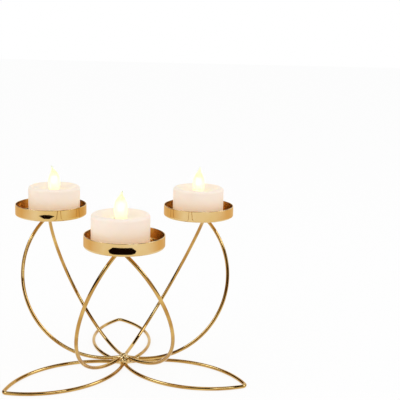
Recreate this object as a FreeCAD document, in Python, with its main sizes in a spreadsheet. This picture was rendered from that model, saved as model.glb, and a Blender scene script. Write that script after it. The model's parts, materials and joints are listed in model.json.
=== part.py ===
import FreeCAD, Part
import math
import os

import Sketcher
from FreeCAD import Placement, Rotation, Vector

# A lotus-shaped tealight stand of bent gilt wire with its three LED tealights.
# Millimetres and degrees. The origin is on the table under the centre weld, +Z is up
# and the front cup lies towards -Y. Three pointed petals rise from the weld, each to a
# shallow cup, and three flat pointed petals lie between them as the feet.

SIZES = {
    # Wire loops
    "wire_diameter": 2.5,
    "tip_bend": 3.0,
    "cup_ring_radius": 63.2,
    "tip_overhang": 3.4,
    "petal_rise": 97.7,
    "petal_bulge": 44.4,
    "petal_spread_angle": 45.5,
    "petal_lean_angle": 3.46,
    "petal_turn_angle": 2.66,
    "foot_reach": 95.1,
    "foot_bulge": 21.7,
    "layer_gap": 1.4,
    # Welds
    "weld_margin": 0.9,
    "weld_cap": 1.1,
    "cup_weld_skirt": 2.9,
    # Cups
    "cup_height": 8.2,
    "cup_wall": 0.6,
    "cup_floor": 0.8,
    "cup_edge": 1.3,
    "candle_room": 6.6,
    # Candle shell
    "candle_diameter": 37.6,
    "candle_height": 20.9,
    "candle_edge": 2.2,
    "shell_wall": 1.4,
    "rim_width": 2.5,
    "dish_depth": 3.4,
    "seat_ledge": 0.6,
    # Flame
    "flame_radius": 4.3,
    "flame_neck": 3.5,
    "flame_height": 18.0,
    "flame_curl": 2.0,
    "flange_radius": 6.4,
    "flange_thickness": 1.2,
    # Lamp and cell
    "led_radius": 2.5,
    "led_length": 8.6,
    "led_rim": 0.4,
    "led_rim_height": 1.0,
    "led_lift": 3.5,
    "leg_thickness": 0.5,
    "leg_pitch": 2.54,
    "cell_thickness": 3.2,
    "cell_cap_inset": 1.3,
    "cell_cap_height": 0.3,
    # Base, door and switch
    "base_recess": 0.8,
    "base_thickness": 1.2,
    "collar_wall": 1.0,
    "switch_room": 4.4,
    "lug_reach": 1.7,
    "lug_width": 3.8,
    "lug_height": 0.9,
    "lug_turn_angle": 30.0,
    "coin_slot_length": 12.0,
    "coin_slot_width": 1.6,
    "coin_slot_depth": 0.7,
    "knob_length": 3.0,
    "knob_width": 2.0,
    "knob_drop": 0.5,
    "knob_flange": 0.5,
    "knob_flange_height": 0.9,
    "knob_travel": 2.0,
    # Clearances
    "slide_gap": 0.2,
    "turn_gap": 0.3,
    "glue_gap": 0.05,
}

# Each raised petal with its cup: its bearing, how its candle is turned in the cup and
# how far the candle stands to the right there, as a share of the room round it.
ARMS = {
    "front": {"bearing_angle": 270.0, "candle_angle": -65.0, "candle_shift": -0.38},
    "right": {"bearing_angle": 30.0, "candle_angle": 60.0, "candle_shift": -0.07},
    "left": {"bearing_angle": 150.0, "candle_angle": 180.0, "candle_shift": 0.36},
}
# Each flat petal's bearing, and the spread angle at which a loop's legs bulge sideways only.
FEET = {
    "left": {"bearing_angle": 210.0},
    "right": {"bearing_angle": 330.0},
    "rear": {"bearing_angle": 90.0},
}
FLAT_SPREAD_ANGLE = 90.0

# The flame's cross-sections from its neck to its point: height and radius as shares of
# the flame's own height and greatest radius.
FLAME_SECTIONS = [
    (0.18, 0.95),
    (0.38, 1.0),
    (0.52, 0.9),
    (0.66, 0.67),
    (0.78, 0.4),
    (0.90, 0.18),
    (1.0, 0.09),
]
CURL_START = 0.6

doc = FreeCAD.newDocument("lotus_tealight_stand")
sheet = doc.addObject("Spreadsheet::Sheet", "dims")
nodes = []


def fill_sheet():
    """Write every driving size into the sheet under its own alias."""
    for row, (alias, size) in enumerate(SIZES.items(), start=1):
        sheet.set(f"A{row}", alias)
        sheet.set(f"B{row}", str(size))
        sheet.setAlias(f"B{row}", alias)
    doc.recompute()


def value(expression):
    """The number that an expression on the sheet's aliases gives."""
    return float(sheet.evalExpression(expression))


def node(label, shape_object, placement=None):
    """Name a finished sub-part, put it in its place and list it for export."""
    shape_object.Label = label
    if placement is not None:
        shape_object.Placement = placement
    nodes.append(shape_object)
    return shape_object


def cylinder(name, radius, height, z=None):
    """A round bar standing on height z, with its sizes bound to the sheet."""
    bar = doc.addObject("Part::Cylinder", name)
    bar.setExpression("Radius", radius)
    bar.setExpression("Height", height)
    if z:
        bar.setExpression("Placement.Base.z", z)
    return bar


def block(name, length, width, height, x="0", y="0", z="0"):
    """A box centred on x and y and standing on height z, with its sizes bound to the sheet."""
    box = doc.addObject("Part::Box", name)
    box.setExpression("Length", length)
    box.setExpression("Width", width)
    box.setExpression("Height", height)
    box.setExpression("Placement.Base.x", f"{x} - ({length}) / 2")
    box.setExpression("Placement.Base.y", f"{y} - ({width}) / 2")
    box.setExpression("Placement.Base.z", z)
    return box


def cut(name, base, tool):
    """What is left of base without tool."""
    result = doc.addObject("Part::Cut", name)
    result.Base = base
    result.Tool = tool
    return result


def common(name, base, tool):
    """What base and tool share."""
    result = doc.addObject("Part::Common", name)
    result.Base = base
    result.Tool = tool
    return result


def fuse(name, shapes):
    """Several shapes as one solid."""
    result = doc.addObject("Part::MultiFuse", name)
    result.Shapes = shapes
    result.Refine = True
    return result


def arc_between(start, end, radius, bulge_side):
    """A sketch arc that joins start and end.

    bulge_side is 1 where the arc bulges to the left of the way from start to end, else -1.
    The arc itself runs anticlockwise, so it begins at end where it bulges to the left.
    """
    chord = end - start
    across = Vector(-chord.y, chord.x, 0).normalize()
    centre = (start + end) * 0.5 - across * bulge_side * math.sqrt(radius**2 - (chord.Length / 2) ** 2)
    first, last = (end, start) if bulge_side > 0 else (start, end)
    first_angle = math.atan2(first.y - centre.y, first.x - centre.x)
    last_angle = math.atan2(last.y - centre.y, last.x - centre.x)
    return Part.ArcOfCircle(Part.Circle(centre, Vector(0, 0, 1), radius), first_angle, last_angle)


def draw_outline(sketch, corners, arcs):
    """Draw a closed outline of (radius, height) corners, every one bound to the sheet.

    arcs maps the number of a corner to the radius and bulge side of the arc that leaves it.
    """
    points = [Vector(value(x), value(y), 0) for x, y in corners]
    ends = []
    for number, start in enumerate(points):
        end = points[(number + 1) % len(points)]
        radius, bulge_side = arcs.get(number, (None, 0))
        edge = arc_between(start, end, value(radius), bulge_side) if radius else Part.LineSegment(start, end)
        sketch.addGeometry(edge, False)
        ends.append((2, 1) if bulge_side > 0 else (1, 2))
    for number, (x, y) in enumerate(corners):
        first, last = ends[number]
        following = (number + 1) % len(corners)
        sketch.addConstraint(Sketcher.Constraint("Coincident", number, last, following, ends[following][0]))
        for kind, expression, axis in (("DistanceX", x, -2), ("DistanceY", y, -1)):
            if expression == "0":
                sketch.addConstraint(Sketcher.Constraint("PointOnObject", number, first, axis))
            else:
                distance = Sketcher.Constraint(kind, -1, 1, number, first, value(expression))
                sketch.setExpression(f"Constraints[{sketch.addConstraint(distance)}]", expression)
    for number, (radius, _) in arcs.items():
        index = sketch.addConstraint(Sketcher.Constraint("Radius", number, value(radius)))
        sketch.setExpression(f"Constraints[{index}]", radius)


def turned(name, corners, arcs=None):
    """A body turned about its own Z axis from an outline of (radius, height) corners."""
    body = doc.addObject("PartDesign::Body", name)
    sketch = body.newObject("Sketcher::SketchObject", f"{name}_outline")
    plane = next(feature for feature in body.Origin.OriginFeatures if feature.Role == "XZ_Plane")
    sketch.AttachmentSupport = [(plane, "")]
    sketch.MapMode = "FlatFace"
    draw_outline(sketch, corners, arcs or {})
    turn = body.newObject("PartDesign::Revolution", f"{name}_turned")
    turn.Profile = sketch
    turn.ReferenceAxis = (sketch, ["V_Axis"])
    turn.Angle = 360
    body.Tip = turn
    return body


class WireLoop:
    """A pointed loop of wire in its own frame: two mirrored arcs from the crossing to one tip.

    The crossing is at the origin and the tip lies over +X, reach away and rise up. Each leg
    is a circular arc that stands bulge away from the straight line to the tip, in a plane
    turned by spread out of the loop's middle plane. A small bend joins the legs at the tip.
    """

    def __init__(self, reach, rise, bulge, spread):
        tip = Vector(reach, 0, rise)
        self.along = Vector(tip).normalize()
        self.middle = tip * 0.5
        self.bulge = bulge
        self.radius = (tip.Length**2 / 4 + bulge**2) / (2 * bulge)
        self.half_angle = math.atan2(tip.Length / 2, self.radius - bulge)
        tilt = math.radians(spread)
        outward = Vector(self.along.z, 0, -self.along.x) * math.cos(tilt)
        sideways = Vector(0, math.sin(tilt), 0)
        self.bulge_ways = {side: outward + sideways * side for side in (1, -1)}
        self.first_angle = value("dims.wire_diameter") / self.radius - self.half_angle
        self.last_angle = self.bend_angle(value("dims.tip_bend"))

    def point(self, side, angle):
        """The point of one leg at an angle of its arc."""
        outward = self.radius * math.cos(angle) - (self.radius - self.bulge)
        return self.middle + self.along * (self.radius * math.sin(angle)) + self.bulge_ways[side] * outward

    def heading(self, side, angle):
        """The way one leg runs at an angle of its arc."""
        return self.along * math.cos(angle) - self.bulge_ways[side] * math.sin(angle)

    def bend_at(self, angle):
        """Radius of the bend that would join the legs if they were cut at this angle."""
        point = self.point(1, angle)
        closing = -self.heading(1, angle).y
        return point.y / closing * math.tan(math.asin(closing))

    def bend_angle(self, bend):
        """The angle where the legs give way to a tip bend of that radius, found by halving."""
        low, high = self.half_angle / 4, self.half_angle
        for _ in range(50):
            middle = (low + high) / 2
            low, high = (middle, high) if self.bend_at(middle) > bend else (low, middle)
        return (low + high) / 2

    def tip(self):
        """The outermost point of the tip bend on the wire's centre line."""
        point = self.point(1, self.last_angle)
        heading = self.heading(1, self.last_angle)
        closing = -heading.y
        forward = Vector(heading.x, 0, heading.z).normalize()
        meeting = point + heading * (point.y / closing)
        bend = self.bend_at(self.last_angle)
        return meeting - forward * (bend / closing - bend)

    def leg(self, side):
        """One leg's arc, from near the crossing to the tip bend."""
        angles = (self.first_angle, (self.first_angle + self.last_angle) / 2, self.last_angle)
        return Part.Arc(*[self.point(side, angle) for angle in angles]).toShape()

    def path(self):
        """The whole centre line as one wire."""
        bend = Part.Arc(self.point(1, self.last_angle), self.tip(), self.point(-1, self.last_angle)).toShape()
        return Part.Wire([self.leg(1), bend, self.leg(-1)])

    def swept(self, name):
        """The centre line and the round section that every wire of this form is swept from."""
        line = doc.addObject("Part::Feature", f"{name}_line")
        line.Shape = self.path()
        section = doc.addObject("Part::Circle", f"{name}_section")
        section.setExpression("Radius", "dims.wire_diameter / 2")
        start_way = self.heading(1, self.first_angle)
        section.Placement = Placement(self.point(1, self.first_angle), Rotation(Vector(0, 0, 1), start_way))
        return line, section


def sweep_wire(name, form, placement):
    """One bent wire of a form, in its place."""
    line, section = form
    wire = doc.addObject("Part::Sweep", name)
    wire.Sections = [section]
    wire.Spine = (line, ["Edge1", "Edge2", "Edge3"])
    wire.Solid = True
    wire.Placement = placement
    return wire


def touching_reach(loop, placements):
    """How far from the axis the facing legs of two neighbouring loops still touch each other."""
    steps = 400
    reach = 0.0
    for step in range(steps):
        angle = loop.first_angle + (loop.last_angle - loop.first_angle) * step / steps
        ends = [place.multVec(loop.point(side, angle)) for place, side in zip(placements, (1, -1))]
        if (ends[0] - ends[1]).Length > value("dims.wire_diameter"):
            break
        reach = max(math.hypot(end.x, end.y) for end in ends)
    return reach + value("dims.weld_margin")


def lowest_dip(loop, lean):
    """How far the leaning loop's centre line dips under its crossing."""
    steps = 200
    angles = [loop.first_angle + (loop.last_angle - loop.first_angle) * step / steps for step in range(steps)]
    return -min(lean.multVec(loop.point(side, angle)).z for side in (1, -1) for angle in angles)


def about_z(degrees):
    """A turn about the upright axis."""
    return Rotation(Vector(0, 0, 1), degrees)


def build_stand():
    """The six wires, the welds and the three cups. Returns each cup's place."""
    wire = value("dims.wire_diameter")
    petal = WireLoop(
        value("dims.cup_ring_radius + dims.tip_overhang"),
        value("dims.petal_rise"),
        value("dims.petal_bulge"),
        value("dims.petal_spread_angle"),
    )
    foot = WireLoop(value("dims.foot_reach"), 0.0, value("dims.foot_bulge"), FLAT_SPREAD_ANGLE)
    lean = Rotation(Vector(1, 0, 0), value("dims.petal_lean_angle"))
    feet_top = wire
    crossing = feet_top + value("dims.layer_gap") + wire / 2 + lowest_dip(petal, lean)
    cup_base = crossing + lean.multVec(Vector(0, 0, value("dims.petal_rise"))).z + wire / 2

    def petal_place(bearing):
        turn = about_z(bearing + value("dims.petal_turn_angle"))
        return Placement(Vector(0, 0, crossing), turn.multiply(lean))

    def foot_place(bearing):
        return Placement(Vector(0, 0, wire / 2), about_z(bearing + value("dims.petal_turn_angle")))

    feet = [foot_place(FEET[side]["bearing_angle"]) for side in ("rear", "left")]
    petals = [petal_place(ARMS[side]["bearing_angle"]) for side in ("right", "left")]
    low_radius = touching_reach(foot, feet)
    high_radius = touching_reach(petal, petals)
    weld = centre_weld(low_radius, high_radius, crossing)
    petal_form = petal.swept("petal")
    foot_form = foot.swept("foot")
    for side, leg in FEET.items():
        swept = sweep_wire(f"foot_sweep_{side}", foot_form, foot_place(leg["bearing_angle"]))
        node(f"foot_wire_{side}", cut(f"foot_wire_{side}", swept, weld))
    cup_places = {}
    for side, arm in ARMS.items():
        bearing = arm["bearing_angle"]
        swept = sweep_wire(f"petal_sweep_{side}", petal_form, petal_place(bearing))
        node(f"petal_wire_{side}", cut(f"petal_wire_{side}", swept, weld))
        tip = petal_place(bearing).multVec(petal.tip())
        node(f"cup_weld_{side}", cup_weld(side, tip, cup_base, swept))
        centre = about_z(bearing).multVec(Vector(value("dims.cup_ring_radius"), 0, cup_base))
        cup_places[side] = Placement(centre, about_z(bearing))
        node(f"cup_{side}", cup_wall(f"cup_{side}"), cup_places[side])
        node(f"cup_floor_{side}", cup_floor(f"cup_floor_{side}"), cup_places[side])
    return cup_places


def centre_weld(low_radius, high_radius, crossing):
    """The weld that the twelve wire ends run into: wide round the feet, narrower round the petals."""
    shoulder = crossing + value("dims.wire_diameter / 2")
    top = f"{shoulder} + dims.weld_cap"
    cap_radius = f"({high_radius}^2 + dims.weld_cap^2) / (2 * dims.weld_cap)"
    corners = [
        ("0", "0"),
        (f"{low_radius}", "0"),
        (f"{low_radius}", "dims.wire_diameter"),
        (f"{high_radius}", f"{shoulder}"),
        ("0", top),
    ]
    return node("centre_weld", turned("centre_weld", corners, {3: (cap_radius, -1)}))


def cup_weld(side, tip, cup_base, wire):
    """The bead between a petal's tip and the underside of its cup."""
    bead = doc.addObject("Part::Cone", f"cup_bead_{side}")
    bead.setExpression("Radius1", "dims.wire_diameter")
    bead.setExpression("Radius2", "dims.wire_diameter / 2 + dims.cup_weld_skirt")
    bead.Height = cup_base - tip.z
    bead.Placement = Placement(tip, Rotation())
    return cut(f"cup_weld_{side}", bead, wire)


# The pressed cup's radii. Its wall with the rounded heel and its flat floor are two solids
# that meet where the heel begins.
CUP_INNER = "(dims.candle_diameter / 2 + dims.candle_room)"
CUP_OUTER = f"({CUP_INNER} + dims.cup_wall)"
CUP_INNER_EDGE = "(dims.cup_edge - dims.cup_wall)"
CUP_FLOOR_RADIUS = f"({CUP_OUTER} - dims.cup_edge)"


def cup_wall(name):
    """The upright wall of a shallow pressed cup, with the rounded heel where it turns into the floor."""
    corners = [
        (CUP_FLOOR_RADIUS, "0"),
        (CUP_OUTER, "dims.cup_edge"),
        (CUP_OUTER, "dims.cup_height"),
        (CUP_INNER, "dims.cup_height"),
        (CUP_INNER, f"dims.cup_floor + {CUP_INNER_EDGE}"),
        (CUP_FLOOR_RADIUS, "dims.cup_floor"),
    ]
    return turned(name, corners, {0: ("dims.cup_edge", -1), 4: (CUP_INNER_EDGE, 1)})


def cup_floor(name):
    """The flat floor of a cup."""
    return cylinder(name, CUP_FLOOR_RADIUS, "dims.cup_floor")


# Heights and radii that several candle pieces share, as expressions in the candle's own
# frame: its foot stands on the cup's floor at height 0, its axis is Z.
SHELL_RADIUS = "(dims.candle_diameter / 2)"
BORE_RADIUS = "(dims.candle_diameter / 2 - dims.shell_wall)"
SEAT_RADIUS = f"({BORE_RADIUS} + dims.seat_ledge)"
PLATE_TOP = "(dims.base_recess + dims.base_thickness)"
DISH_RADIUS = "(dims.candle_diameter / 2 - dims.rim_width)"
DISH_CURVE = f"(({DISH_RADIUS}^2 + dims.dish_depth^2) / (2 * dims.dish_depth))"
DISH_CENTRE = f"(dims.candle_height - dims.dish_depth + {DISH_CURVE})"
UNDER_CURVE = f"({DISH_CURVE} + dims.shell_wall)"
HOLE_RADIUS = "(dims.flame_neck + dims.slide_gap)"
FLANGE_TOP = f"({DISH_CENTRE} - sqrt({UNDER_CURVE}^2 - {HOLE_RADIUS}^2) - dims.glue_gap)"
FLANGE_FOOT = f"({FLANGE_TOP} - dims.flange_thickness)"
NECK_TOP = f"({DISH_CENTRE} - sqrt({DISH_CURVE}^2 - {HOLE_RADIUS}^2))"
LED_FOOT = f"({NECK_TOP} + dims.led_lift)"
COLLAR_RADIUS = f"({BORE_RADIUS} - dims.switch_room)"
LUG_BORE = f"({COLLAR_RADIUS} - dims.collar_wall)"
LUG_RADIUS = f"({LUG_BORE} - dims.turn_gap)"
CELL_RADIUS = f"({LUG_RADIUS} - dims.lug_reach)"
POCKET_RADIUS = f"({CELL_RADIUS} + dims.turn_gap)"
DOOR_BORE = f"({POCKET_RADIUS} + dims.slide_gap)"
LUG_FOOT = f"({PLATE_TOP} + dims.slide_gap)"
DOOR_TOP = f"({LUG_FOOT} + dims.lug_height)"
LUG_ROOF = f"({DOOR_TOP} + dims.slide_gap)"
CELL_FOOT = f"({DOOR_TOP} + dims.glue_gap)"
CELL_TOP = f"({CELL_FOOT} + dims.cell_thickness)"
COLLAR_TOP = f"({CELL_TOP} - dims.cell_cap_height)"
KNOB_Y = f"(-({COLLAR_RADIUS} + {BORE_RADIUS}) / 2)"
KNOB_X = "(-dims.knob_travel / 2)"
LEG_ROUND_CELL = f"(-{CELL_RADIUS} - dims.slide_gap - dims.leg_thickness / 2)"
LEG_CLEAR = f"({CELL_TOP} + dims.leg_thickness)"


def candle_shell(name):
    """The wax-like shell: thin wall, rounded rim, dished top with the flame's hole, seat for the base."""
    corners = [
        (SHELL_RADIUS, "0"),
        (SHELL_RADIUS, "dims.candle_height - dims.candle_edge"),
        (f"{SHELL_RADIUS} - dims.candle_edge", "dims.candle_height"),
        (DISH_RADIUS, "dims.candle_height"),
        (HOLE_RADIUS, NECK_TOP),
        (HOLE_RADIUS, f"{FLANGE_TOP} + dims.glue_gap"),
        (BORE_RADIUS, f"{DISH_CENTRE} - sqrt({UNDER_CURVE}^2 - {BORE_RADIUS}^2)"),
        (BORE_RADIUS, PLATE_TOP),
        (SEAT_RADIUS, PLATE_TOP),
        (SEAT_RADIUS, "0"),
    ]
    arcs = {1: ("dims.candle_edge", -1), 3: (DISH_CURVE, 1), 5: (UNDER_CURVE, -1)}
    return turned(name, corners, arcs)


def flame(name):
    """The flame-shaped diffuser: a teardrop with a curled point on a flange, bored in two steps for the lamp."""
    sections = []
    for number, (rise, width) in enumerate([(0.0, None)] + FLAME_SECTIONS):
        ring = doc.addObject("Part::Circle", f"{name}_ring{number}")
        ring.setExpression("Radius", f"dims.flame_radius * {width}" if width else "dims.flame_neck")
        ring.setExpression("Placement.Base.z", f"{NECK_TOP} + dims.flame_height * {rise}")
        bend = max(0.0, (rise - CURL_START) / (1 - CURL_START)) ** 2
        ring.setExpression("Placement.Base.x", f"dims.flame_curl * {bend}")
        sections.append(ring)
    drop = doc.addObject("Part::Loft", f"{name}_drop")
    drop.Sections = sections
    drop.Solid = True
    neck = cylinder(f"{name}_neck", "dims.flame_neck", f"{NECK_TOP} - {FLANGE_TOP}", FLANGE_TOP)
    flange = cylinder(f"{name}_flange", "dims.flange_radius", "dims.flange_thickness", FLANGE_FOOT)
    whole = fuse(f"{name}_whole", [drop, neck, flange])
    step = f"({LED_FOOT} + dims.led_rim_height)"
    rim_radius = "(dims.led_radius + dims.led_rim + dims.glue_gap)"
    rim_bore = cylinder(f"{name}_rim_bore", rim_radius, f"{step} - {FLANGE_FOOT}", FLANGE_FOOT)
    bore_radius = "(dims.led_radius + dims.glue_gap)"
    bore_length = "(dims.led_length - dims.led_rim_height - dims.led_radius)"
    bore = cylinder(f"{name}_bore", bore_radius, bore_length, step)
    end = doc.addObject("Part::Sphere", f"{name}_bore_end")
    end.setExpression("Radius", bore_radius)
    end.setExpression("Placement.Base.z", f"{step} + {bore_length}")
    return cut(name, whole, fuse(f"{name}_hollow", [rim_bore, bore, end]))


def led(name):
    """A round lamp with a domed end and a rim at its foot."""
    rim = "(dims.led_radius + dims.led_rim)"
    rim_top = f"({LED_FOOT} + dims.led_rim_height)"
    top = f"({LED_FOOT} + dims.led_length)"
    corners = [
        ("0", LED_FOOT),
        (rim, LED_FOOT),
        (rim, rim_top),
        ("dims.led_radius", rim_top),
        ("dims.led_radius", f"{top} - dims.led_radius"),
        ("0", top),
    ]
    return turned(name, corners, {4: ("dims.led_radius", -1)})


def led_legs(name):
    """The lamp's two square legs: one stands on the cell's cap, one goes round to the cell's rim."""
    thick = "dims.leg_thickness"
    near = "(dims.leg_pitch / 2)"
    straight = block(f"{name}_straight", thick, thick, f"{LED_FOOT} - {CELL_TOP}", f"-{near}", "0", CELL_TOP)
    down = block(f"{name}_down", thick, thick, f"{LED_FOOT} - {LEG_CLEAR}", near, "0", LEG_CLEAR)
    across_length = f"({thick} - {LEG_ROUND_CELL})"
    across = block(f"{name}_across", thick, across_length, thick, near, f"{LEG_ROUND_CELL} / 2", LEG_CLEAR)
    tail_foot = f"({CELL_TOP} - dims.cell_thickness / 2)"
    tail_length = f"({LEG_CLEAR} + {thick} - {tail_foot})"
    tail = block(f"{name}_tail", thick, thick, tail_length, near, LEG_ROUND_CELL, tail_foot)
    bent = fuse(f"{name}_bent", [down, across, tail])
    pair = doc.addObject("Part::Compound", name)
    pair.Links = [straight, bent]
    return pair


def coin_cell(name):
    """A coin cell: a can with a slightly smaller cap on top."""
    can_top = f"({CELL_TOP} - dims.cell_cap_height)"
    corners = [
        ("0", CELL_FOOT),
        (CELL_RADIUS, CELL_FOOT),
        (CELL_RADIUS, can_top),
        (f"{CELL_RADIUS} - dims.cell_cap_inset", can_top),
        (f"{CELL_RADIUS} - dims.cell_cap_inset", CELL_TOP),
        ("0", CELL_TOP),
    ]
    return turned(name, corners)


def candle_base(name):
    """The base plate with the cell's collar, two notches for the door's lugs and the switch's slot."""
    corners = [
        (DOOR_BORE, "dims.base_recess"),
        (f"{SEAT_RADIUS} - dims.glue_gap", "dims.base_recess"),
        (f"{SEAT_RADIUS} - dims.glue_gap", PLATE_TOP),
        (COLLAR_RADIUS, PLATE_TOP),
        (COLLAR_RADIUS, COLLAR_TOP),
        (POCKET_RADIUS, COLLAR_TOP),
        (POCKET_RADIUS, LUG_ROOF),
        (LUG_BORE, LUG_ROOF),
        (LUG_BORE, PLATE_TOP),
        (DOOR_BORE, PLATE_TOP),
    ]
    plate = turned(f"{name}_plate", corners)
    reach = cylinder(f"{name}_reach", LUG_BORE, PLATE_TOP)
    notch_width = "(dims.lug_width + 2 * dims.turn_gap)"
    bar = block(f"{name}_bar", f"2 * {LUG_BORE}", notch_width, PLATE_TOP)
    notches = common(f"{name}_notches", bar, reach)
    notches.Placement = Placement(Vector(), about_z(value("dims.lug_turn_angle")))
    slot_length = "(dims.knob_length + dims.knob_travel + 2 * dims.slide_gap)"
    slot_width = "(dims.knob_width + 2 * dims.slide_gap)"
    slot = block(f"{name}_slot", slot_length, slot_width, PLATE_TOP, "0", KNOB_Y)
    gate_width = "(dims.leg_thickness + 2 * dims.turn_gap)"
    gate_y = f"(-({POCKET_RADIUS} + {COLLAR_RADIUS}) / 2)"
    gate_depth = f"({COLLAR_RADIUS} - {POCKET_RADIUS} + 2 * dims.collar_wall)"
    gate = block(f"{name}_gate", gate_width, gate_depth, COLLAR_TOP, "(dims.leg_pitch / 2)", gate_y, LUG_ROOF)
    openings = doc.addObject("Part::Compound", f"{name}_openings")
    openings.Links = [notches, slot, gate]
    return cut(name, plate, openings)


def battery_door(name):
    """A coin-turned round door: a disc flush in the base, two lugs above the plate, a coin slot below."""
    foot = "dims.base_recess"
    disc = cylinder(f"{name}_disc", f"{DOOR_BORE} - dims.turn_gap", f"{DOOR_TOP} - {foot}", foot)
    bar = block(f"{name}_bar", f"2 * {LUG_RADIUS}", "dims.lug_width", "dims.lug_height", z=LUG_FOOT)
    reach = cylinder(f"{name}_reach", LUG_RADIUS, DOOR_TOP)
    lugs = common(f"{name}_lugs", bar, reach)
    whole = fuse(f"{name}_whole", [disc, lugs])
    slot = block(f"{name}_slot", "dims.coin_slot_length", "dims.coin_slot_width", "dims.coin_slot_depth", z=foot)
    return cut(name, whole, slot)


def switch_knob(name):
    """The slide switch's knob: a nub through the slot and a flange that keeps it on the plate."""
    foot = "(dims.base_recess - dims.knob_drop)"
    flange_foot = f"({PLATE_TOP} + dims.glue_gap)"
    rise = f"({flange_foot} - {foot})"
    nub = block(f"{name}_nub", "dims.knob_length", "dims.knob_width", rise, KNOB_X, KNOB_Y, foot)
    flange = block(
        f"{name}_flange",
        "dims.knob_length + 2 * dims.knob_flange",
        "dims.knob_width + 2 * dims.knob_flange",
        "dims.knob_flange_height",
        KNOB_X,
        KNOB_Y,
        flange_foot,
    )
    return fuse(name, [nub, flange])


CANDLE_PIECES = {
    "candle_shell": candle_shell,
    "flame": flame,
    "led": led,
    "led_legs": led_legs,
    "coin_cell": coin_cell,
    "candle_base": candle_base,
    "battery_door": battery_door,
    "switch_knob": switch_knob,
}


def build_candles(cup_places):
    """One LED tealight in each cup, standing on the cup's floor."""
    for side, arm in ARMS.items():
        shift = arm["candle_shift"] * value("dims.candle_room")
        foot = cup_places[side].Base + Vector(shift, 0, value("dims.cup_floor"))
        place = Placement(foot, about_z(arm["candle_angle"]))
        for piece, make in CANDLE_PIECES.items():
            name = f"{piece}_{side}"
            node(name, make(name), place)


def write_parts():
    """Check every object and write each sub-part to its own file."""
    doc.recompute()
    for thing in doc.Objects:
        if "Invalid" in thing.State or "Error" in thing.State:
            raise RuntimeError(f"{thing.Name} failed: {thing.State}")
    for part in nodes:
        if part.Shape.isNull() or not part.Shape.isValid():
            raise RuntimeError(f"{part.Label} has no valid shape")
    os.makedirs("parts", exist_ok=True)
    for part in nodes:
        part.Shape.exportStep(f"parts/{part.Label}.step")


fill_sheet()
build_candles(build_stand())
write_parts()
print(len(nodes), "sub-parts written")
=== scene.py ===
import json
import math

import bmesh
import bpy
from mathutils import Matrix, Vector, noise


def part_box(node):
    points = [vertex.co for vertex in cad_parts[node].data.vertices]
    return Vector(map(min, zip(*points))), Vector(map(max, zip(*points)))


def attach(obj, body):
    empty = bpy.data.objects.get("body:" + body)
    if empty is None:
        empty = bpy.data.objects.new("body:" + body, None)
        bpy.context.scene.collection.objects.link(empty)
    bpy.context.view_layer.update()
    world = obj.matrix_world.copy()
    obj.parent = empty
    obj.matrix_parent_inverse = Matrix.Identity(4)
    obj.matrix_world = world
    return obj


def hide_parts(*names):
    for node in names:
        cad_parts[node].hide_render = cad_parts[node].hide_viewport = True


# The looks of a lotus-shaped tealight stand of gilt wire with three lit LED tealights.
# Metres, in the frame of the solids: +Z up, the origin on the table under the centre weld,
# the front cup towards -Y.

bl_info = {
    "name": "Lotus Tealight Stand",
    "version": (1, 0, 0),
    "blender": (4, 5, 0),
    "location": "3D View > Sidebar > Lotus Stand",
    "description": "Dresses the solids of a gilt wire tealight stand and its LED tealights",
    "category": "Object",
}

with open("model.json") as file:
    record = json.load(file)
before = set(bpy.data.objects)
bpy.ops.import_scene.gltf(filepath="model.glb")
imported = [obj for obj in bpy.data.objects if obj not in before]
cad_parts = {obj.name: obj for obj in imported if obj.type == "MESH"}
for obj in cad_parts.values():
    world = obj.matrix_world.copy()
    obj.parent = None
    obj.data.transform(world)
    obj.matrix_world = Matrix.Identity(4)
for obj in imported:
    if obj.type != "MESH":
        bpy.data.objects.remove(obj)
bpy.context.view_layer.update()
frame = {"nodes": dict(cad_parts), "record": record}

SIDES = ("front", "right", "left")
FEET = ("left", "right", "rear")
WIRES = [f"petal_wire_{side}" for side in SIDES] + [f"foot_wire_{side}" for side in FEET]
MM = 0.001
UP = Vector((0, 0, 1))


def linear(hex_colour):
    """A linear colour with alpha 1 from an sRGB hex value such as "#d9b066"."""
    levels = [int(hex_colour[start : start + 2], 16) / 255 for start in (1, 3, 5)]
    return [
        level / 12.92 if level <= 0.04045 else ((level + 0.055) / 1.055) ** 2.4 for level in levels
    ] + [1.0]


def size(name, description, millimetres):
    """A length property with its default in millimetres."""
    return bpy.props.FloatProperty(
        name=name, description=description, default=millimetres * MM, unit="LENGTH", precision=4
    )


def tint(name, description, hex_colour):
    """A colour property with its default as an sRGB hex value."""
    return bpy.props.FloatVectorProperty(
        name=name,
        description=description,
        default=linear(hex_colour),
        size=4,
        subtype="COLOR",
        min=0,
        max=1,
    )


class LotusSizes(bpy.types.PropertyGroup):
    """Sizes of the pieces that are modelled here, where the solids' boxes don't give them."""

    cup_wall: size("Cup wall", "Thickness of the cup's wall", 0.6)
    cup_floor: size("Cup floor", "Thickness of the cup's floor", 0.8)
    cup_edge: size("Cup edge", "Radius where the cup's wall meets its floor", 1.3)
    cup_lip: size("Cup lip", "Rounding of the cup's rim", 0.22)
    shell_wall: size("Shell wall", "Thickness of the candle's shell", 1.4)
    shell_edge: size("Shell edge", "Rounding of the candle's rim", 2.2)
    shell_foot: size("Shell foot", "Rounding of the candle's foot", 0.3)
    rim_width: size("Rim width", "From the candle's side to the edge of its dish", 2.5)
    dish_depth: size("Dish depth", "Depth of the dish in the candle's top", 3.4)
    flame_hole: size("Flame hole", "Radius of the hole that the flame stands in", 3.7)
    wire_radius: size("Wire radius", "Half the thickness of the bent wires", 1.25)
    weld_lump: size("Weld lump", "Roughness of the weld metal in the middle", 0.6)


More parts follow.
